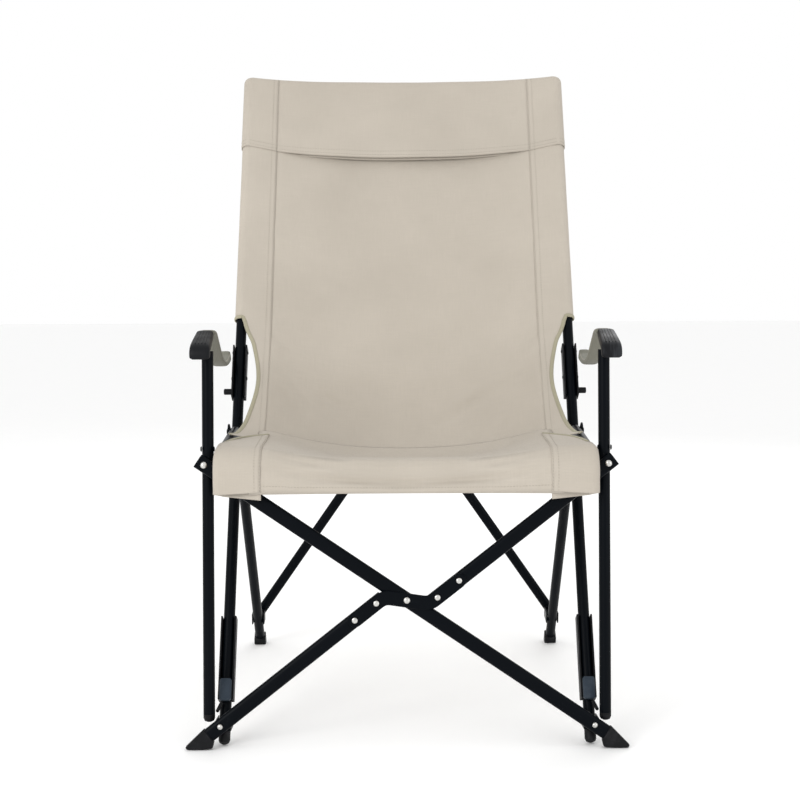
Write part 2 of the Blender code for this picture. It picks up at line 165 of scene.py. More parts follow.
def sums(tree, kind, a, b):
    return node(tree, "Math", {0: a, 1: b}, operation=kind)


def bump(tree, height, distance, strength, below=None):
    inputs = {"Height": height, "Distance": distance, "Strength": strength}
    if below is not None:
        inputs["Normal"] = below
    return node(tree, "Bump", inputs)


def finish_material(tree, shader, colour, roughness, normal):
    tree.links.new(colour, shader.inputs["Base Color"])
    tree.links.new(roughness, shader.inputs["Roughness"])
    tree.links.new(normal, shader.inputs["Normal"])


WAVE = 2 * pi / 20           # a wave texture's period at scale 1


def woven(name, pale, dark, thread, relief, kind="UV", sheen=0.12):
    """A plain weave, with slubs along its threads and slightly uneven dye."""
    made, tree, shader = start_material(name, 0.9, Sheen_Weight=sheen, Sheen_Roughness=0.5,
                                        Specular_IOR_Level=0.25)
    at = coordinates(tree, kind)
    warp, weft = (node(tree, "TexWave", {"Vector": at, "Scale": WAVE / thread, "Distortion": 1.6,
                                         "Detail": 1.0, "Detail Scale": 2.0},
                       wave_type="BANDS", bands_direction=way) for way in ("X", "Y"))
    weave = sums(tree, "MULTIPLY", warp, weft)
    slub_a = noise(tree, coordinates(tree, kind, (900, 30, 30)), 1.0)
    slub_b = noise(tree, coordinates(tree, kind, (30, 900, 30)), 1.0)
    slubs = sums(tree, "MULTIPLY", sums(tree, "ADD", slub_a, slub_b), 0.5)
    dye = noise(tree, coordinates(tree, "Object"), 5.5, 4.0)
    colour = mix(tree, ramp(tree, dye, 0.3, 0.7), pale, dark)
    colour = mix(tree, ramp(tree, slubs, 0.35, 0.65, 0.0, 0.30), colour,
                 tuple(c * 0.86 for c in dark))
    colour = mix(tree, ramp(tree, weave, 0.0, 0.5, 0.12, 0.0), colour,
                 tuple(c * 0.72 for c in dark))
    roughness = ramp(tree, slubs, 0.3, 0.7, 0.82, 0.95)
    handled = bump(tree, noise(tree, coordinates(tree, "Object"), 26.0, 3.0), 0.0016, 0.35)
    uneven = bump(tree, slubs, 0.0004, 0.5, handled)
    finish_material(tree, shader, colour, roughness, bump(tree, weave, relief, 0.6, uneven))
    return made


def powder_coat(name, base, worn):
    """Satin powder coat: fine orange peel, faint scuffs and dust."""
    made, tree, shader = start_material(name, 0.36, Specular_IOR_Level=0.06)
    at = coordinates(tree, "Object")
    scuffs = ramp(tree, noise(tree, at, 55.0, 8.0, 0.7), 0.64, 0.76, 0.0, 0.5)
    tone = noise(tree, at, 9.0, 3.0)
    colour = mix(tree, tone, tuple(c * 0.8 for c in base), tuple(c * 1.25 for c in base))
    colour = mix(tree, scuffs, colour, worn)
    roughness = sums(tree, "ADD", ramp(tree, noise(tree, at, 30.0, 5.0), 0.3, 0.7, 0.27, 0.44),
                     sums(tree, "MULTIPLY", scuffs, 0.3))
    peel = bump(tree, noise(tree, at, 950.0, 2.0), 0.0001, 0.45)
    finish_material(tree, shader, colour, roughness, peel)
    return made


def plastic(name, base, worn, streaks=(1, 1, 1), roughness=(0.42, 0.62)):
    """Moulded nylon with a fine grain, rubbed paler in streaks."""
    made, tree, shader = start_material(name, 0.5, Specular_IOR_Level=0.16)
    at = coordinates(tree, "Object")
    rubbed = ramp(tree, noise(tree, coordinates(tree, "Object", streaks), 60.0, 6.0, 0.65),
                  0.50, 0.72, 0.0, 0.75)
    colour = mix(tree, rubbed, base, worn)
    rough = ramp(tree, noise(tree, at, 40.0, 4.0), 0.3, 0.7, *roughness)
    grain = bump(tree, noise(tree, at, 1400.0, 2.0), 0.00012, 0.5)
    finish_material(tree, shader, colour, rough, bump(tree, rubbed, 0.0002, 0.4, grain))
    return made


def steel(name, base):
    """Nickel-plated rivet heads with turning marks and tarnish."""
    made, tree, shader = start_material(name, 0.28, 1.0)
    at = coordinates(tree, "Object")
    tarnish = ramp(tree, noise(tree, at, 160.0, 5.0), 0.45, 0.75, 0.0, 0.5)
    colour = mix(tree, tarnish, base, tuple(c * 0.55 for c in base))
    rough = ramp(tree, noise(tree, at, 420.0, 3.0), 0.3, 0.7, 0.18, 0.38)
    finish_material(tree, shader, colour, rough, bump(tree, noise(tree, at, 900.0), 0.0001, 0.3))
    return made


CANVAS = woven("canvas_weave", (0.512, 0.463, 0.396), (0.452, 0.407, 0.346), 0.0011, 0.00016)
BINDING = woven("binding_tape", (0.400, 0.370, 0.270), (0.340, 0.315, 0.225), 0.0009, 0.0003)
WEBBING = woven("arm_webbing_weave", (0.235, 0.230, 0.185), (0.150, 0.148, 0.120), 0.0024, 0.0006)
# The thread's colour is a little darker than the canvas: the thread's own colour plus painted shade, so that
# the seams show as darker lines.
THREAD_WITH_PAINTED_SEAM_SHADE = woven("thread_painted_seam_shade", (0.430, 0.390, 0.330), (0.370, 0.335, 0.280), 0.0006, 0.0001, "Object")
PAINT = powder_coat("frame_powder_coat", (0.0016, 0.0026, 0.0042), (0.008, 0.010, 0.013))
PLASTIC = plastic("black_nylon", (0.0045, 0.0048, 0.0058), (0.020, 0.020, 0.023))
ARM_PLASTIC = plastic("arm_nylon", (0.0045, 0.0050, 0.0065), (0.050, 0.053, 0.060), (1.0, 0.10, 0.10))
SLIDER_PLASTIC = plastic("slider_nylon", (0.030, 0.042, 0.058), (0.060, 0.075, 0.092))
STEEL = steel("rivet_nickel", (0.62, 0.615, 0.59))

CAD_LOOKS = {"slider_block": SLIDER_PLASTIC, "slider": PLASTIC, "slider_link": PLASTIC,
             "tube_plug": PLASTIC, "post_plug": PLASTIC, "rail_plug": PLASTIC, "arm_cap": ARM_PLASTIC,
             "arm_bracket": PLASTIC, "arm_peg": PLASTIC, "rear_foot": PLASTIC, "front_foot": PLASTIC,
             "rivet": STEEL}


def smooth_group():
    """A modifier's node group that shades a mesh smooth."""
    group = bpy.data.node_groups.new("shade_smooth", "GeometryNodeTree")
    group.interface.new_socket("Geometry", in_out="INPUT", socket_type="NodeSocketGeometry")
    group.interface.new_socket("Geometry", in_out="OUTPUT", socket_type="NodeSocketGeometry")
    start, end = group.nodes.new("NodeGroupInput"), group.nodes.new("NodeGroupOutput")
    shade = group.nodes.new("GeometryNodeSetShadeSmooth")
    group.links.new(start.outputs[0], shade.inputs["Geometry"])
    group.links.new(shade.outputs[0], end.inputs[0])
    return group


SMOOTH = smooth_group()


SHARP = radians(38)          # edges that bend more than this stay sharp


def soften(obj):
    """Weld a mesh and shade it smooth between its sharp edges."""
    weld = obj.modifiers.new("weld", "WELD")
    weld.merge_threshold = 0.00003
    shade = obj.modifiers.new("smooth", "NODES")
    shade.node_group = SMOOTH
    split = obj.modifiers.new("split", "EDGE_SPLIT")
    split.split_angle = SHARP


for name, obj in NODES.items():
    look = next((CAD_LOOKS[key] for key in sorted(CAD_LOOKS, key=len, reverse=True)
                 if name.endswith(key)), PAINT)
    obj.data.materials.clear()
    obj.data.materials.append(look)
    soften(obj)


# ---- meshes -----------------------------------------------------------------------------
def piece(name, verts, faces, look, uvs=None):
    """A smooth-shaded mesh object in the scene."""
    mesh = bpy.data.meshes.new(name)
    mesh.from_pydata([tuple(v) for v in verts], [], faces)
    mesh.materials.append(look)
    mesh.polygons.foreach_set("use_smooth", [True] * len(mesh.polygons))
    if uvs:
        layer = mesh.uv_layers.new(name="cloth")
        for loop in mesh.loops:
            layer.data[loop.index].uv = uvs[loop.vertex_index]
    mesh.update()
    obj = bpy.data.objects.new(name, mesh)
    bpy.context.scene.collection.objects.link(obj)
    return obj


def lengths(points):
    """The running length at each point of a line."""
    total, made = 0.0, [0.0]
    for a, b in zip(points, points[1:]):
        total += (b - a).length
        made.append(total)
    return made


def grid(rows, closed=False):
    """Vertices, quads and UVs in metres through rows of points, joined round if closed."""
    wide = len(rows[0])
    us = lengths(rows[len(rows) // 2])
    vs = lengths([row[wide // 2] for row in rows])
    faces = [(j * wide + i, j * wide + (i + 1) % wide,
              (j + 1) * wide + (i + 1) % wide, (j + 1) * wide + i)
             for j in range(len(rows) - 1) for i in range(wide - (not closed))]
    return [p for row in rows for p in row], faces, [(u, v) for v in vs for u in us]


def sheet_of(name, rows, look):
    verts, faces, uvs = grid(rows)
    return piece(name, verts, faces, look, uvs)


def closed_body(name, rows, look):
    """A tube through closed rows of points, with a face on each end."""
    verts, faces, uvs = grid(rows, closed=True)
    wide = len(rows[0])
    last = len(verts) - wide
    faces += [tuple(range(wide))[::-1], tuple(last + i for i in range(wide))]
    return piece(name, verts, faces, look, uvs)


def thicken(obj, thickness=CLOTH):
    solid = obj.modifiers.new("cloth", "SOLIDIFY")
    solid.thickness, solid.offset = thickness, 0.0


def spline(points, t):
    """A point on the smooth curve through points, t counted in them."""
    k = min(int(t), len(points) - 2)
    f = t - k
    p1, p2 = Vector(points[k]), Vector(points[k + 1])
    p0 = Vector(points[k - 1]) if k else p1 * 2 - p2
    p3 = Vector(points[k + 2]) if k + 2 < len(points) else p2 * 2 - p1
    return ((p1 * 2) + (p2 - p0) * f + (p0 * 2 - p1 * 5 + p2 * 4 - p3) * f * f
            + (p1 * 3 - p0 - p2 * 3 + p3) * f ** 3) / 2


def stations(points, gap=MESH):
    """Evenly spread values of t for a curve through points."""
    made = []
    for k in range(len(points) - 1):
        steps = max(1, ceil((Vector(points[k + 1]) - Vector(points[k])).length / gap))
        made += [k + n / steps for n in range(steps)]
    return made + [len(points) - 1]


def between(a, b, n):
    """n + 1 points from a to b."""
    return [a + (b - a) * (k / n) for k in range(n + 1)]


# ---- creases ----------------------------------------------------------------------------
def crease_height(x, t, creases):
    """How far the cloth rises at x across and t along, from soft straight folds."""
    rise = 0.0
    for (x0, t0), (x1, t1), height, width in creases:
        way = Vector((x1 - x0, (t1 - t0) * 0.1))
        at = Vector((x - x0, (t - t0) * 0.1))
        f = at.dot(way) / way.length_squared
        if -0.15 < f < 1.15:
            off = abs(at.cross(way)) / way.length
            ends = max(0.0, 1 - (2 * f - 1) ** 2 * 0.75)
            rise += height * ends * exp(-(off / width) ** 2)
    return rise


def settle(obj, held, slack, frames=22, cap=0.010):
    """Drape a panel under its own weight between the edges that hold it."""
    group = obj.vertex_groups.new(name="held")
    group.add(held, 1.0, "REPLACE")
    cloth = obj.modifiers.new("drape", "CLOTH")
    cloth.settings.quality = 6
    cloth.settings.mass = 0.25
    cloth.settings.tension_stiffness = cloth.settings.compression_stiffness = 30
    cloth.settings.shear_stiffness = 12
    cloth.settings.bending_stiffness = 1.2
    cloth.settings.vertex_group_mass = "held"
    cloth.settings.shrink_min = -slack
    cloth.collision_settings.use_collision = False
    cloth.point_cache.frame_start, cloth.point_cache.frame_end = 1, frames
    scene = bpy.context.scene
    for n in range(1, frames + 1):
        scene.frame_set(n)
    graph = bpy.context.evaluated_depsgraph_get()
    draped = [v.co.copy() for v in obj.evaluated_get(graph).data.vertices]
    obj.modifiers.remove(cloth)
    scene.frame_set(1)
    for vert, new in zip(obj.data.vertices, draped):
        move = new - vert.co
        vert.co += move * min(1.0, cap / max(move.length, 1e-9))
    obj.data.update()


class Surface:
    """A sheet's grid, read back by row and column, each of which may be a fraction."""

    def __init__(self, obj, wide, high=None):
        self.co = [v.co.copy() for v in obj.data.vertices]
        self.wide, self.high = wide, high or len(self.co) // wide

    def at(self, j, i):
        j0, i0 = min(int(j), self.high - 2), min(int(i), self.wide - 2)
        fj, fi = j - j0, i - i0
        a, b, c, d = (self.co[(j0 + dj) * self.wide + i0 + di] for dj, di in
                      ((0, 0), (0, 1), (1, 0), (1, 1)))
        low, high = a.lerp(b, fi), c.lerp(d, fi)
        normal = (b - a + d - c).cross(c - a + d - b).normalized()
        return low.lerp(high, fj), normal


def seen(normal):
    """A sheet's normal, turned to the side that is seen from above and in front."""
    return normal if normal.dot(UP_FRONT) > 0 else -normal


def stitches(name, line, pitch=0.0042, length=0.0031, radius=0.00042, lift=0.0):
    """A row of thread stitches along (point, normal) pairs."""
    points, normals = [p for p, _ in line], [n for _, n in line]
    runs = lengths(points)
    verts, faces = [], []
    k, place = 0, pitch / 2
    while place < runs[-1] - pitch / 2:
        while runs[k + 1] < place:
            k += 1
        f = (place - runs[k]) / (runs[k + 1] - runs[k])
        normal = normals[k].lerp(normals[k + 1], f).normalized()
        at = points[k].lerp(points[k + 1], f) + normal * lift
        way = (points[k + 1] - points[k]).normalized()
        side = way.cross(normal)
        base = len(verts)
        verts.append(at - way * length / 2 - normal * radius)
        for reach in (-0.28, 0.28):
            for a in range(4):
                turn = pi / 4 + a * pi / 2
                verts.append(at + way * length * reach
                             + (side * cos(turn) + normal * sin(turn)) * radius * 1.2)
        verts.append(at + way * length / 2 - normal * radius)
        for a in range(4):
            b = (a + 1) % 4
            faces += [(base, base + 1 + b, base + 1 + a),
                      (base + 1 + a, base + 1 + b, base + 5 + b, base + 5 + a),
                      (base + 9, base + 5 + a, base + 5 + b)]
        place += pitch
    # the stitches' thread carries painted seam shade in its colour
    obj = piece(name, verts, faces, THREAD_WITH_PAINTED_SEAM_SHADE)
    return obj


def swept(name, line, section, look):
    """A section of (side, normal) offsets swept along (point, normal) pairs."""
    rows = []
    for n, (point, normal) in enumerate(line):
        way = (line[min(n + 1, len(line) - 1)][0] - line[max(n - 1, 0)][0]).normalized()
        side = way.cross(normal).normalized()
        rows.append([point + side * a + normal * b for a, b in section])
    return closed_body(name, rows, look)


def oval(half_width, half_height, sides=10, power=1.0):
    """A closed section, squarer for a smaller power."""
    made = []
    for k in range(sides):
        a = 2 * pi * k / sides
        c, s = cos(a), sin(a)
        made.append((half_width * (abs(c) ** power) * (1 if c > 0 else -1),
                     half_height * (abs(s) ** power) * (1 if s > 0 else -1)))
    return made


# ---- folding ----------------------------------------------------------------------------
def fold_with(obj, body):
    """Ride on a left body, with a mesh of its own."""
    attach(obj, body)
    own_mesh(obj)


# ---- the back's panel -------------------------------------------------------------------
BACK_INNER = BACK_SEAM - SEAM_GAP / 2 - FLAP     # where the panel passes under the sleeve
ARM_FRONT = -0.0101                              # depth of the sleeve's front layer at a tube
BACK_LOWER = 5                                   # the knot at the sleeves' lower ends
BACK_S = (0.652, 0.780, 0.900, 0.990, SLEEVE_HIGH)
back_mid = [(0.2000, 0.3680), (0.2362, 0.3735), (0.2680, 0.4020), (0.2980, 0.4500), (0.3142, 0.4944)]
back_mid += [by_tube(d, s) for d, s in zip((0.0262, 0.0200, 0.0145, 0.0125, 0.0115), BACK_S)]
back_seam = [(0.1400, 0.4035), (0.1650, 0.4045), (0.2000, 0.4280), (0.2450, 0.4780), (0.2880, 0.5270)]
back_seam += [by_tube(0.002, s) for s in BACK_S]
back_edge = [(0.1180, 0.4145), (0.1420, 0.4160), (0.1800, 0.4340), (0.2330, 0.4840), (0.2790, 0.5320)]
back_edge += [by_tube(ARM_FRONT, s) for s in BACK_S]
ARMHOLE = (0.2500, 0.2420, 0.2310, 0.2200, 0.2290, 0.2466)      # half widths at the lower knots

BACK_CREASES = [
    ((-0.205, 4.6), (-0.060, 1.8), -0.0032, 0.011), ((-0.200, 4.3), (-0.105, 2.0), 0.0026, 0.009),
    ((0.205, 4.6), (0.070, 2.3), -0.0034, 0.011), ((0.200, 4.2), (0.120, 1.8), 0.0026, 0.009),
    ((0.195, 3.6), (0.020, 1.9), -0.0022, 0.013), ((-0.195, 3.5), (-0.030, 2.2), -0.0018, 0.012),
    ((0.205, 6.3), (0.105, 4.9), 0.0016, 0.012), ((-0.205, 6.4), (-0.120, 5.2), 0.0015, 0.012),
    ((0.150, 5.4), (0.030, 4.1), -0.0020, 0.020), ((-0.120, 7.4), (0.080, 7.0), -0.0010, 0.020),
    ((-0.060, 5.8), (0.090, 6.5), 0.0012, 0.024), ((0.090, 2.9), (0.185, 3.9), 0.0020, 0.012),
]


def armhole_half(t):
    """The panel's half width at knot t: the armhole's curve, then hidden in the sleeve."""
    if t <= BACK_LOWER:
        return spline([(w, 0) for w in ARMHOLE], t)[0]
    return max(0.2380, ARMHOLE[-1] - (t - BACK_LOWER) * 0.12)


back_ts = stations(back_mid)
INNER_COLUMNS = 68
MARGIN_COLUMNS = 5
rows = []
for t in back_ts:
    mid, seam, edge = (spline(path, t) for path in (back_mid, back_seam, back_edge))
    along_path = (spline(back_mid, min(t + 0.05, len(back_mid) - 1))
                  - spline(back_mid, max(t - 0.05, 0))).normalized()
    front = Vector((0, -along_path.y, along_path.x))
    tuck = CLOTH * 1.1 if t > BACK_LOWER else 0.0
    half = armhole_half(t)
    margin = [-(half + (BACK_INNER - half) * k / MARGIN_COLUMNS) for k in range(MARGIN_COLUMNS)]
    inner = [-BACK_INNER + 2 * BACK_INNER * k / INNER_COLUMNS for k in range(INNER_COLUMNS + 1)]
    row = []
    for x in margin + inner + [-x for x in reversed(margin)]:
        if abs(x) <= BACK_INNER + 1e-9:
            place = seam + (mid - seam) * (1 - abs(x / BACK_INNER) ** 2.3)
            point = spot(x, *place) + front * crease_height(x, t, BACK_CREASES)
        else:
            f = (abs(x) - BACK_INNER) / (TUBE_X - BACK_INNER)
            point = spot(x, *(seam + (edge - seam) * f)) - BACK_NORMAL * tuck
        row.append(point)
    rows.append(row)
back = sheet_of("back_sling", rows, CANVAS)
back_wide = len(rows[0])
still = [j * back_wide + i for j in range(len(rows)) for i in range(back_wide)
         if j < 3 or j > len(rows) - 4 or i < MARGIN_COLUMNS + 2 or i > back_wide - MARGIN_COLUMNS - 3]
settle(back, still, 0.0035)
thicken(back)
fold_with(back, "left_frame")
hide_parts("back_panel")


# ---- sleeves ----------------------------------------------------------------------------
FLAP_COLUMNS = 9
WRAP_COLUMNS = 22
BACK_FOLD = -0.002           # height of the back sleeve's fold over the tube's axis, to the front
ARM_TANGENT = 0.2472         # where the sleeve's front layer meets the tube's roundness


def sleeve_section(flap_x, height):
    """A sleeve's section from its fold in front, round the tube, to its fold behind.

    Points are (outward from the tube's axis, towards the front), with the fold at flap_x.
    """
    inner = Vector((flap_x - TUBE_X, height))
    base = atan2(inner.y, inner.x) % (2 * pi)
    spread = acos(SLEEVE_R / inner.length)
    turn = base - spread
    stop = base + spread - 2 * pi
    front = Vector((cos(turn), sin(turn))) * SLEEVE_R
    behind = Vector((cos(stop), sin(stop))) * SLEEVE_R
    fold_in = inner + Vector((0, CLOTH * 0.9))
    fold_out = inner - Vector((0, CLOTH * 1.1))
    arc = [Vector((cos(a), sin(a))) * SLEEVE_R
           for a in (turn + (stop - turn) * k / WRAP_COLUMNS for k in range(WRAP_COLUMNS + 1))]
    return between(fold_in, front, FLAP_COLUMNS)[:-1] + arc + between(behind, fold_out, FLAP_COLUMNS)[1:]


def sleeve(name, side, flap_rows, wrap_rows, body, node_name):
    """A sleeve from its front layer's rows and the rows that go on round the tube."""
    verts, faces, uvs = [], [], []
    for rows, start_u in ((flap_rows, 0.0), (wrap_rows, lengths(flap_rows[-1])[-1])):
        base, wide = len(verts), len(rows[0])
        us, vs = lengths(rows[len(rows) // 2]), lengths([row[0] for row in rows])
        verts += [p for row in rows for p in row]
        v_end = vs[-1]
        uvs += [(start_u + u, v - v_end) for v in vs for u in us]
        for j in range(len(rows) - 1):
            for i in range(wide - 1):
                k = base + j * wide + i
                quad = (k, k + 1, k + wide + 1, k + wide)
                faces.append(quad[::side])
    obj = piece(name, verts, faces, CANVAS, uvs)
    weld = obj.modifiers.new("weld", "WELD")
    weld.merge_threshold = 0.00002
    shown = Surface(obj, len(flap_rows[0]), len(flap_rows))
    thicken(obj)
    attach(obj, body)
    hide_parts(node_name)
    return obj, shown


def seam_rows(name, face, offsets, body):
    """The rows of stitches that close a sleeve, at distances across from the middle."""
    for n, across in enumerate(offsets):
        line = []
        for j in range(face.high):
            row = [face.at(j, i)[0] for i in range(face.wide)]
            i = next((k for k, p in enumerate(row) if abs(p.x) >= across), None)
            if not i:
                continue
            a, b = abs(row[i - 1].x), abs(row[i].x)
            place = row[i - 1].lerp(row[i], (across - a) / (b - a))
            normal = face.at(j, i - 0.5)[1]
            line.append((place, seen(normal)))
        obj = stitches(f"{name}_{n + 1}", line, lift=CLOTH * 0.5)
        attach(obj, body)


def back_s(t):
    """How far along the back tube knot t of the back's paths lies."""
    k = min(int(t - BACK_LOWER), len(BACK_S) - 2)
    return BACK_S[k] + (BACK_S[k + 1] - BACK_S[k]) * (t - BACK_LOWER - k)


def back_flap(side, across, t):
    """The sleeve's front layer, which runs on down to the seat beside the armhole."""
    seam, edge = spline(back_seam, t), spline(back_edge, t)
    f = (across - BACK_INNER) / (TUBE_X - BACK_INNER)
    lift = BACK_NORMAL * (CLOTH * 0.9)
    return spot(side * across, *(seam + (edge - seam) * f)) + lift


for label, side in SIDES.items():
    phase = random.Random(label).uniform(0, 2 * pi)
    top = len(back_mid) - 1.0
    lower = [BACK_LOWER * k / 44 for k in range(44)]
    upper = [BACK_LOWER + (top - BACK_LOWER) * k / 56 for k in range(57)]

    def back_wrap(k, t, side=side, phase=phase):
        """Point k of the sleeve's section beyond its front layer."""
        s = back_s(t)
        a, b = sleeve_section(BACK_INNER, BACK_FOLD)[k + FLAP_COLUMNS]
        ripple = 0.0
        if k < WRAP_COLUMNS:
            ripple = 0.0004 * sin(s * 70 + phase + k * 0.4) * sin(pi * k / WRAP_COLUMNS)
        return spot(side * (TUBE_X + a), *by_tube(0, s)) + BACK_NORMAL * (b + ripple)

    flap_rows = []
    for t in lower + upper:
        outer = ARM_TANGENT if t >= BACK_LOWER else min(ARM_TANGENT, armhole_half(t))
        row = [back_flap(side, BACK_INNER + (outer - BACK_INNER) * k / FLAP_COLUMNS, t)
               for k in range(FLAP_COLUMNS + 1)]
        if t >= BACK_LOWER:
            row[-1] = back_wrap(0, t)
        flap_rows.append(row)
    wrap_rows = [[back_wrap(k, t) for k in range(WRAP_COLUMNS + FLAP_COLUMNS + 1)] for t in upper]
    obj, face = sleeve(f"{label}_back_sleeve_cloth", side, flap_rows, wrap_rows,
                       f"{label}_frame", f"{label}_back_sleeve")
    seam_rows(f"{label}_back_seam", face,
              (BACK_SEAM - SEAM_GAP / 2, BACK_SEAM + SEAM_GAP / 2), f"{label}_frame")


# ---- the seat's panel and front band ----------------------------------------------------
SEAT_INNER = SEAT_SEAM - SEAM_GAP / 2 - FLAP


def rail_point(t):
    """The rail's axis and its upper normal at t: 0 at the hem, 1 and 2 at the bend's ends."""
    if t < 1:
        return (Vector((RAIL_BEND_CENTRE[0] - RAIL_BEND, HEM_UP + (RAIL_BEND_CENTRE[1] - HEM_UP) * t)),
                Vector((-1, 0)))
    start = Vector(RAIL_BEND_CENTRE) + Vector((cos(RAIL_START), sin(RAIL_START))) * RAIL_BEND
    if t < 2:
        a = pi + (RAIL_START - pi) * (t - 1)
        normal = Vector((cos(a), sin(a)))
        return Vector(RAIL_BEND_CENTRE) + normal * RAIL_BEND, normal
    way = (Vector(RAIL_PIVOT) - start).normalized()
    return start + way * ((0.152 - start.x) / way.x) * (t - 2), Vector((-way.y, way.x))


SEAM_RISE = ((0, 0.0066), (1, 0.0070), (2, 0.0062), (3, 0.0032))


def seam_rise(t):
    """Height of the seat's seam over the rail's axis at t."""
    for (t0, h0), (t1, h1) in zip(SEAM_RISE, SEAM_RISE[1:]):
        if t <= t1:
            return h0 + (h1 - h0) * (t - t0) / (t1 - t0)
    return SEAM_RISE[-1][1]


seat_seam = []
for t in (0, 1, 1.35, 1.7, 2, 2.35, 2.7, 3):
    point, normal = rail_point(t)
    seat_seam.append(tuple(point + normal * seam_rise(t)))
seat_seam.append((0.1740, 0.4125))
seat_mid = [(-0.0035, 0.3472), (-0.0015, 0.3650), (0.0020, 0.3830), (0.0130, 0.3965), (0.0380, 0.4000),
            (0.0860, 0.3880), (0.1400, 0.3765), (0.1950, 0.3712), (0.2410, 0.3790)]
SEAT_CREASES = [
    ((-0.190, 0.6), (-0.150, 2.6), -0.0010, 0.009), ((0.188, 0.7), (0.140, 2.8), -0.0014, 0.010),
    ((-0.185, 1.4), (-0.020, 1.9), 0.0010, 0.010), ((0.185, 1.2), (0.040, 1.8), 0.0010, 0.010),
    ((-0.190, 3.2), (-0.060, 5.0), -0.0016, 0.013), ((0.190, 3.1), (0.070, 5.2), -0.0018, 0.013),
]
SEAT_COLUMNS = 62
SEAT_REACH = SEAT_INNER + 0.016                  # half the panel's width, with what the sleeves hide
rows = []
for t in stations(seat_mid):
    mid, seam = spline(seat_mid, t), spline(seat_seam, t)
    way = (spline(seat_mid, min(t + 0.05, len(seat_mid) - 1))
           - spline(seat_mid, max(t - 0.05, 0))).normalized()
    out = Vector((0, -way.y, way.x))
    row = []
    for x in (-SEAT_REACH + 2 * SEAT_REACH * k / SEAT_COLUMNS for k in range(SEAT_COLUMNS + 1)):
        f = min(1.0, abs(x / SEAT_INNER))
        place = seam + (mid - seam) * (1 - f ** 2.3)
        row.append(spot(x, *place) + out * crease_height(x, t, SEAT_CREASES))
    rows.append(row)
seat = sheet_of("seat_sling", rows, CANVAS)
seat_wide = len(rows[0])
still = [j * seat_wide + i for j in range(len(rows)) for i in range(seat_wide)
         if j < 2 or j > len(rows) - 3 or i < 4 or i > seat_wide - 5]
settle(seat, still, 0.0025)
seat_face = Surface(seat, seat_wide)
thicken(seat)
fold_with(seat, "left_seat")
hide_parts("seat_panel", "seat_front_band")

REAR_CUT = 2.16              # where the sleeve's cut leaves the rail's top; its seam runs on to 3
SEAM_END = 2.99              # where the front layer's rows stop, just before the seam's end
HEM_SLANT = 0.11             # in t: how much higher the sleeve's hem is at the fold than outside
BEHIND_DROP = 0.30           # in t: how much lower the layer behind the rail ends


def seat_point(side, t, column, phase=0.0):
    """A point of the seat sleeve's section at t, its column counted from the fold."""
    point, normal = rail_point(t)
    outline = sleeve_section(SEAT_INNER, seam_rise(t))
    k = min(int(column), len(outline) - 2)
    a, b = outline[k].lerp(outline[k + 1], column - k)
    if b < 0 and 0.4 < t < 2.2:
        b *= 1 + 0.75 * sin(pi * (t - 0.4) / 1.8)
    ripple = 0.0006 * sin(t * 8 + phase) * min(1.0, column / FLAP_COLUMNS)
    return spot(side * (TUBE_X + a), *point) + Vector((0, *normal)) * (b + ripple)


def cut_column(t):
    """How far across the front layer reaches behind the diagonal cut."""
    return FLAP_COLUMNS * (1 - max(0.0, (t - REAR_CUT) / (3 - REAR_CUT)) ** 1.5)


for label, side in SIDES.items():
    phase = random.Random(label + " seat").uniform(0, 2 * pi)
    shared = [REAR_CUT * k / 34 for k in range(35)]
    beyond = [REAR_CUT + (SEAM_END - REAR_CUT) * k / 16 for k in range(1, 17)]
    flap_rows = [[seat_point(side, t + HEM_SLANT * (1 - k / FLAP_COLUMNS) * max(0.0, 1 - t),
                             cut_column(t) * k / FLAP_COLUMNS, phase)
                  for k in range(FLAP_COLUMNS + 1)] for t in shared + beyond]
    wrap_rows = []
    for t in shared:
        row = []
        for k in range(WRAP_COLUMNS + FLAP_COLUMNS + 1):
            lower_edge = BEHIND_DROP * max(0.0, (k - 8) / (WRAP_COLUMNS + FLAP_COLUMNS - 8))
            row.append(seat_point(side, t - lower_edge * max(0.0, 1 - t), k + FLAP_COLUMNS, phase))
        wrap_rows.append(row)
    obj, face = sleeve(f"{label}_seat_sleeve_cloth", side, flap_rows, wrap_rows,
                       f"{label}_seat", f"{label}_seat_sleeve")
    seam_rows(f"{label}_seat_seam", face,
              (SEAT_SEAM - SEAM_GAP / 2, SEAT_SEAM + SEAM_GAP / 2), f"{label}_seat")


# ---- binding and hems -------------------------------------------------------------------
for label, side in SIDES.items():
    line = []
    for t in (k / 12 for k in range(12 * BACK_LOWER)):
        half = armhole_half(t) - 0.0012
        line.append((back_flap(side, half, t), BACK_NORMAL))
    section = sleeve_section(BACK_INNER, BACK_FOLD)[FLAP_COLUMNS:-FLAP_COLUMNS]
    for a, b in section:
        centre = spot(side * TUBE_X, *by_tube(0, BACK_S[0] + 0.0015))
        out = (X * (side * a) + BACK_NORMAL * b).normalized()
        line.append((centre + out * (SLEEVE_R + CLOTH * 0.6), out))
    tape = swept(f"{label}_armhole_binding", line, oval(0.0030, 0.0013), BINDING)
    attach(tape, f"{label}_frame")
    line = []
    for k in range(26):
        t = REAR_CUT + (2.98 - REAR_CUT) * k / 25
        out = Vector((0, *rail_point(t)[1]))
        line.append((seat_point(side, t, cut_column(t)) + out * 0.0004, out))
    tape = swept(f"{label}_sleeve_binding", line, oval(0.0028, 0.0012), BINDING)
    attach(tape, f"{label}_seat")


def across_face(name, face, row, first, last, body):
    """A row of stitches across a panel, riding on a body."""
    line = []
    for k in range(2 * first, 2 * last + 1):
        point, normal = face.at(row, k / 2)
        line.append((point, seen(normal)))
    fold_with(stitches(name, line, lift=CLOTH * 0.5), body)


across_face("front_hem_stitch", seat_face, 1.25, 2, seat_wide - 3, "left_seat")
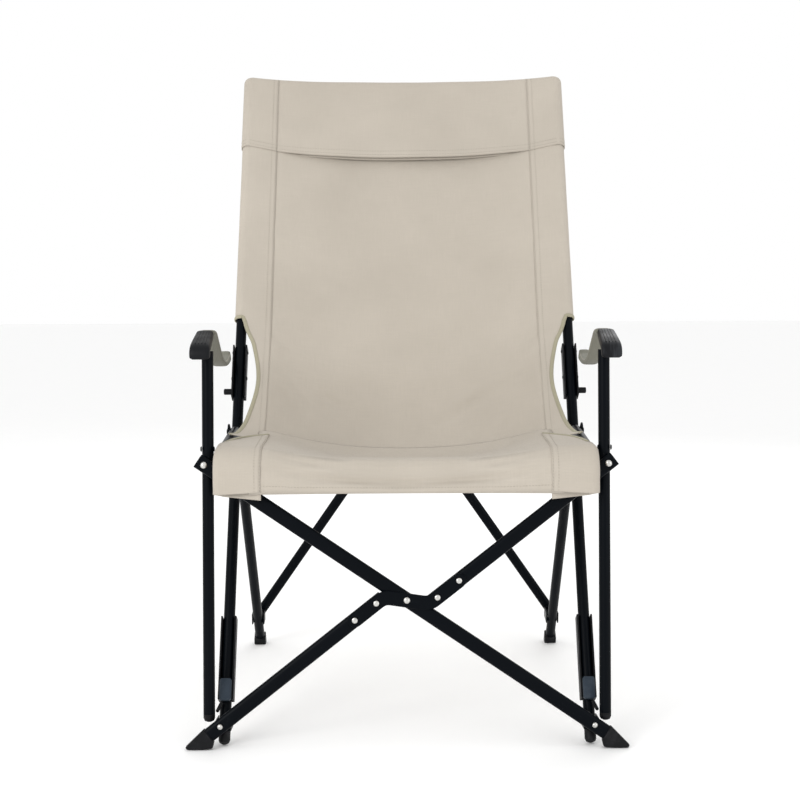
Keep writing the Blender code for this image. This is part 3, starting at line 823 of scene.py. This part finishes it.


# ---- head pocket: a loop of canvas over the sleeves, closed at the top -------------------
# It is a middle part, which rides on the left frame, and two ends, which stay on their tubes.
HOOD_R = SLEEVE_R + 0.0016
HOOD_CLOTH = 0.0011
HOOD_CORNER = 0.013          # radius of its upper corners
HOOD_CLOSE = 0.010           # over which its two layers come together at the top
HOOD_OVERLAP = 0.0025        # of the middle part under each end
HOOD_STEP = 0.0004           # from the middle part out to an end
HOOD_EDGE_COLUMNS = 8
HOOD_INNER_COLUMNS = 56
HOOD_WRAP = 12
HOOD_EDGE = TUBE_X + HOOD_R
HOOD_HEM_RISE = 0.0110       # how much higher the hem is at the sides


def hood_depth(x, s, behind):
    """Depth behind the tubes of the pocket's layer in front of, or behind, the back."""
    reach = min(1.0, abs(x) / BACK_INNER)
    rise = max(0.0, (abs(x) - BACK_INNER) / (TUBE_X - BACK_INNER))
    seam = 0.0052 if behind else 0.0004
    middle = 0.0165 if behind else 0.0088 - 0.0022 * (s - HOOD_LOW) / (HOOD_HIGH - HOOD_LOW)
    tube = HOOD_R if behind else -HOOD_R
    depth = seam + (middle - seam) * (1 - reach ** 2.3) + (tube - seam) * rise
    creases = 0.0009 * sin(31 * x + 60 * s) * sin(14 * x - 35 * s) * (1 - reach ** 6)
    return depth + creases


def hood_point(x, f, behind, round_tube=None):
    """A point of the pocket at share f of its height; round_tube is an angle round the tube."""
    s = HOOD_LOW + (HOOD_HIGH - HOOD_LOW) * f
    over = max(0.0, s - (HOOD_HIGH - HOOD_CORNER)) / HOOD_CORNER
    pull = HOOD_CORNER * (1 - sqrt(max(0.0, 1 - over ** 2))) * 0.75
    shut = max(0.0, s - (HOOD_HIGH - HOOD_CLOSE)) / HOOD_CLOSE
    thin = max(0.03, sqrt(max(0.0, 1 - shut ** 2)))
    side = 1 if x > 0 else -1
    depth = hood_depth(x, s, behind)
    if round_tube is not None:
        depth = -HOOD_R * cos(round_tube)
        x = side * (TUBE_X + HOOD_R * sin(round_tube))
    inside = min(TUBE_X, abs(x))
    core = (hood_depth(inside, s, False) + hood_depth(inside, s, True)) / 2
    shrink = max(0.0, abs(x) - BACK_INNER) / (HOOD_EDGE - BACK_INNER)
    hem = HOOD_HEM_RISE * min(1.0, (abs(x) / TUBE_X) ** 2) * (1 - f)
    return spot(x - side * pull * shrink, *by_tube(core + (depth - core) * thin, s + hem))


shares = [k / 26 * 0.86 for k in range(26)] + [0.86 + 0.14 * sin(pi / 2 * k / 14) for k in range(15)]
hood_reach = BACK_INNER + HOOD_OVERLAP
flat = [hood_reach * (2 * k / HOOD_INNER_COLUMNS - 1) for k in range(HOOD_INNER_COLUMNS + 1)]
rows = [[hood_point(x, f, False) for x in flat] for f in shares]
rows += [[hood_point(x, f, True) for x in flat] for f in reversed(shares)]
hood = sheet_of("head_pocket_cloth", rows, CANVAS)
hood_face = Surface(hood, len(flat))
thicken(hood, HOOD_CLOTH)
fold_with(hood, "left_frame")
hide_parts("head_pocket")
HEM_ROWS = (1.05, 2.45)
for n, row in enumerate(HEM_ROWS):
    across_face(f"pocket_hem_stitch_{n + 1}", hood_face, row, 0, HOOD_INNER_COLUMNS, "left_frame")
for label, side in SIDES.items():
    margin = [side * (BACK_INNER + (TUBE_X - BACK_INNER) * k / HOOD_EDGE_COLUMNS)
              for k in range(HOOD_EDGE_COLUMNS + 1)]
    rows = []
    for f in shares:
        row = [hood_point(x, f, False) for x in margin]
        row += [hood_point(side * TUBE_X, f, False, pi * k / HOOD_WRAP) for k in range(1, HOOD_WRAP)]
        row += [hood_point(x, f, True) for x in reversed(margin)]
        rows.append([p + BACK_NORMAL * (HOOD_STEP if k < len(row) / 2 else -HOOD_STEP)
                     for k, p in enumerate(row)][::side])
    end = sheet_of(f"{label}_pocket_end", rows, CANVAS)
    end_face = Surface(end, len(rows[0]))
    thicken(end, HOOD_CLOTH)
    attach(end, f"{label}_frame")
    last = len(rows[0]) - 1
    for n, off in enumerate((0.0012, 0.0012 + SEAM_GAP)):
        column = off / (TUBE_X - BACK_INNER) * HOOD_EDGE_COLUMNS
        line = [(p, seen(normal)) for p, normal in
                (end_face.at(j * 0.5, column if side > 0 else last - column)
                 for j in range(0, 2 * len(shares) - 8))]
        obj = stitches(f"{label}_pocket_seam_{n + 1}", line, lift=0.0006)
        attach(obj, f"{label}_frame")
    for n, row in enumerate(HEM_ROWS):
        line = []
        for k in (n_half / 2 for n_half in range(2 * (HOOD_EDGE_COLUMNS + HOOD_WRAP - 1))):
            p, normal = end_face.at(row, k if side > 0 else last - k)
            out = p - spot(side * TUBE_X, p.y - DATUM_Y, p.z)
            front_part = k < HOOD_EDGE_COLUMNS and normal.dot(UP_FRONT) > 0
            line.append((p, normal if normal.dot(out) > 0 or front_part else -normal))
        obj = stitches(f"{label}_pocket_hem_{n + 1}", line, lift=0.0006)
        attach(obj, f"{label}_frame")


# ---- arms -------------------------------------------------------------------------------
ARM_X = 0.2757
STRAP_X = ARM_X - 0.0025
STRAP_HALF = 0.0108          # half the strap's width
RIB_SINK = 0.0001            # of the arm cap's ribs into its top


def loft(name, stops, look, sides):
    """A closed body through (centre, half width, half height, squareness) along a side path."""
    rows = []
    for n, (centre, half_w, half_h, power) in enumerate(stops):
        way = stops[min(n + 1, len(stops) - 1)][0] - stops[max(n - 1, 0)][0]
        way.normalize()
        up = X.cross(way).normalized()
        rows.append([centre + X * a + up * b for a, b in oval(half_w, half_h, sides, power)])
    return closed_body(name, rows, look)


def upper_side(path, t):
    """The normal of a side path at t, out of its upper side."""
    way = (spline(path, t + 0.05) - spline(path, t - 0.05)).normalized()
    return Vector((0, -way.y, way.x))


def size_at(sizes, t):
    return spline([(size, 0) for size in sizes], t)[0]


CAP_PATH = [(0.0088, 0.5275), (0.0093, 0.5345), (0.0150, 0.5412), (0.0300, 0.5462),
            (0.0550, 0.5532), (0.0800, 0.5600)]
CAP_WIDE = [0.0132, 0.0138, 0.0137, 0.0132, 0.0122, 0.0112]
CAP_HIGH = [0.0040, 0.0056, 0.0066, 0.0068, 0.0064, 0.0058]
STRAP_PATH = [(0.0740, 0.5600), (0.0930, 0.5590), (0.1120, 0.5510), (0.1400, 0.5350), (0.1750, 0.5175),
              (0.2150, 0.5085), (0.2500, 0.5075), (0.2800, 0.5125), (0.2960, 0.5185)]

for label, side in SIDES.items():
    stops = []
    for k in range(41):
        t = k / 40 * (len(CAP_PATH) - 1)
        wide, high = size_at(CAP_WIDE, t), size_at(CAP_HIGH, t)
        round_off = min(1.0, 0.55 + 0.45 * min(k, 40 - k) / 2.5)
        stops.append((spot(side * (ARM_X + 0.0002), *spline(CAP_PATH, t)), wide * round_off ** 0.5,
                      high * round_off, 0.42))
    cap = loft(f"{label}_arm_cap_shell", stops, ARM_PLASTIC, 32)
    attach(cap, f"{label}_post")
    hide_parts(f"{label}_arm_cap")
    for n, off in enumerate((-0.0066, -0.0022, 0.0022, 0.0066)):
        line = []
        for k in range(16):
            t = 2.15 + 2.5 * k / 15
            up = upper_side(CAP_PATH, t)
            squeeze = size_at(CAP_WIDE, t) / CAP_WIDE[1]
            place = spot(side * ARM_X + off * squeeze, *spline(CAP_PATH, t))
            line.append((place + up * (size_at(CAP_HIGH, t) - RIB_SINK), up))
        rib = swept(f"{label}_arm_cap_rib_{n + 1}", line, oval(0.0008, 0.0006, 8), ARM_PLASTIC)
        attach(rib, f"{label}_post")

    stops = []
    for k in range(57):
        t = k / 56 * (len(STRAP_PATH) - 1)
        stops.append((spot(side * STRAP_X, *spline(STRAP_PATH, t)),
                      STRAP_HALF - 0.0004 * max(0, k - 48), 0.0036 + 0.0004 * sin(t * 5), 0.55))
    strap = loft(f"{label}_arm_strap_pad", stops, WEBBING, 24)
    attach(strap, f"{label}_post")
    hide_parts(f"{label}_arm_strap")
    for n, off in enumerate((-0.0078, 0.0078)):
        line = []
        for k in range(50):
            t = 1.0 + (len(STRAP_PATH) - 2.3) * k / 49
            up = upper_side(STRAP_PATH, t)
            line.append((spot(side * STRAP_X + off, *spline(STRAP_PATH, t)) + up * 0.0033, up))
        obj = stitches(f"{label}_strap_stitch_{n + 1}", line)
        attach(obj, f"{label}_post")


# ---- fasteners --------------------------------------------------------------------------
def turned_piece(name, profile, place, normal, look, sides=20):
    """A profile of (radius, height) turned about normal at place."""
    normal = Vector(normal).normalized()
    other = (Vector((0, 0, 1)) if abs(normal.z) < 0.9 else X).cross(normal).normalized()
    third = normal.cross(other)
    rows = [[place + (other * cos(2 * pi * k / sides) + third * sin(2 * pi * k / sides)) * r + normal * h
             for k in range(sides)] for r, h in profile]
    verts = [v for row in rows for v in row]
    faces = [(j * sides + k, j * sides + (k + 1) % sides, (j + 1) * sides + (k + 1) % sides,
              (j + 1) * sides + k) for j in range(len(rows) - 1) for k in range(sides)]
    faces += [tuple(range(sides))[::-1], tuple((len(rows) - 1) * sides + k for k in range(sides))]
    return piece(name, verts, faces, look)


def rivet(name, place, normal, radius, body, look=STEEL):
    """A domed head with a small rim and a dimple."""
    rise = radius * 0.5
    profile = [(radius, 0.0), (radius * 1.02, rise * 0.18), (radius * 0.93, rise * 0.45)]
    profile += [(radius * 0.93 * cos(a), rise * (0.45 + 0.55 * sin(a)))
                for a in (pi / 2 * k / 6 for k in range(1, 6))]
    profile += [(radius * 0.18, rise * 0.98), (radius * 0.08, rise * 0.90)]
    obj = turned_piece(name, profile, place, normal, look)
    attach(obj, body)


def middle(name):
    low_corner, high_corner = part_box(name)
    return (low_corner + high_corner) / 2


centre = middle("centre_rivet")
PLATE_RIVETS = (0.035, 0.072)    # from the centre rivet, along each half of the split leg
BAR_OFFSET = 0.0225              # from the centre rivet to the line of each half
POST_RIVET_UP = 0.020            # from the post's upper rivet to its pair of cross rivets
for label, anchor in (("low", middle("left_low_rivet")), ("high", middle("right_high_rivet"))):
    to_centre = centre - anchor
    side_way = BAR_NORMAL.cross(to_centre).normalized()
    swing = BAR_OFFSET / to_centre.length
    way = (to_centre.normalized() * cos(swing) + side_way * sin(swing)).normalized()
    reach = way.dot(to_centre)
    for n, back_off in enumerate(PLATE_RIVETS):
        place = anchor + way * (reach - back_off)
        place += BAR_NORMAL * (centre - place).dot(BAR_NORMAL)
        rivet(f"plate_rivet_{label}_{n + 1}", place - BAR_NORMAL * 0.0011, BAR_NORMAL, 0.0042, "front_bar_a")

for label, side in SIDES.items():
    outer = X * side
    g_low, g_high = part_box(f"{label}_gusset")
    for n, off in enumerate((-0.026, 0.0, 0.026)):
        place = (g_low + g_high) / 2 - BACK_NORMAL * off
        place.x = g_high.x if side > 0 else g_low.x
        rivet(f"{label}_gusset_rivet_{n + 1}", place, outer, 0.0045, f"{label}_frame", PAINT)
    b_low, b_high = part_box(f"{label}_arm_bracket")
    tube_way = Vector((0, sin(BACK_TILT), cos(BACK_TILT)))
    for n, off in enumerate((-0.010, 0.033)):
        for inward in (1, -1):
            place = (b_low + b_high) / 2 + tube_way * off
            place.x = b_high.x if side * inward > 0 else b_low.x
            rivet(f"{label}_bracket_rivet_{n + 1}_{'out' if inward > 0 else 'in'}", place,
                  outer * inward, 0.0030, f"{label}_frame", PAINT)
    high = middle(f"{label}_high_rivet")
    for n, off in enumerate((-1, 1)):
        place = Vector((side * POST_X + off * TUBE_R * 1.02,
                        high.y + 0.0160 + POST_RIVET_UP * sin(POST_TILT), high.z + POST_RIVET_UP))
        rivet(f"{label}_post_rivet_{n + 1}", place, X * off, 0.0036, f"{label}_post", PAINT)


# ---- camera, lights and floor -----------------------------------------------------------
camera = bpy.data.objects.new("camera", bpy.data.cameras.new("camera"))
camera.data.lens, camera.data.sensor_width = 69.8, 36
camera.matrix_world = (Matrix.Translation((-0.0119, -2.3439, 0.6595))
                       @ Matrix.Rotation(radians(-0.107), 4, "Z")
                       @ Matrix.Rotation(radians(90 - 5.171), 4, "X")
                       @ Matrix.Rotation(radians(-0.27), 4, "Z"))
bpy.context.scene.collection.objects.link(camera)
bpy.context.scene.camera = camera


def lamp(name, place, aim, size, power):
    light = bpy.data.lights.new(name, "AREA")
    light.shape, light.size, light.energy = "SQUARE", size, power
    obj = bpy.data.objects.new(name, light)
    obj.matrix_world = (Matrix.Translation(place)
                        @ (Vector(aim) - Vector(place)).to_track_quat("-Z", "Y").to_matrix().to_4x4())
    bpy.context.scene.collection.objects.link(obj)


lamp("key", (-1.9, -2.5, 1.5), (0, 0, 0.45), 1.2, 34)
lamp("fill", (2.2, -2.1, 0.9), (0, 0, 0.4), 1.6, 10)
lamp("rim", (0.6, 2.2, 2.0), (0, 0.1, 0.5), 1.4, 14)

bpy.context.scene.view_settings.view_transform = "Standard"
world = bpy.data.worlds.new("studio")
bpy.context.scene.world = world
world.use_nodes = True
sky = world.node_tree.nodes["Background"]
sky.inputs["Color"].default_value = (1.0, 1.0, 1.0, 1)
sky.inputs["Strength"].default_value = 1.0

FLOOR = 14.0
floor_look, floor_tree, floor_shader = start_material("floor_paper", 0.8, Specular_IOR_Level=0.2)
speck = noise(floor_tree, coordinates(floor_tree, "Object"), 12.0)
finish_material(floor_tree, floor_shader,
                mix(floor_tree, speck, (0.94, 0.94, 0.94), (0.965, 0.965, 0.96)),
                ramp(floor_tree, speck, 0.3, 0.7, 0.75, 0.85),
                bump(floor_tree, speck, 0.0002, 0.1))
floor = piece("floor", [(-FLOOR, -FLOOR, 0), (FLOOR, -FLOOR, 0), (FLOOR, FLOOR, 0), (-FLOOR, FLOOR, 0)],
              [(0, 1, 2, 3)], floor_look)
floor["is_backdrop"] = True

low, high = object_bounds()
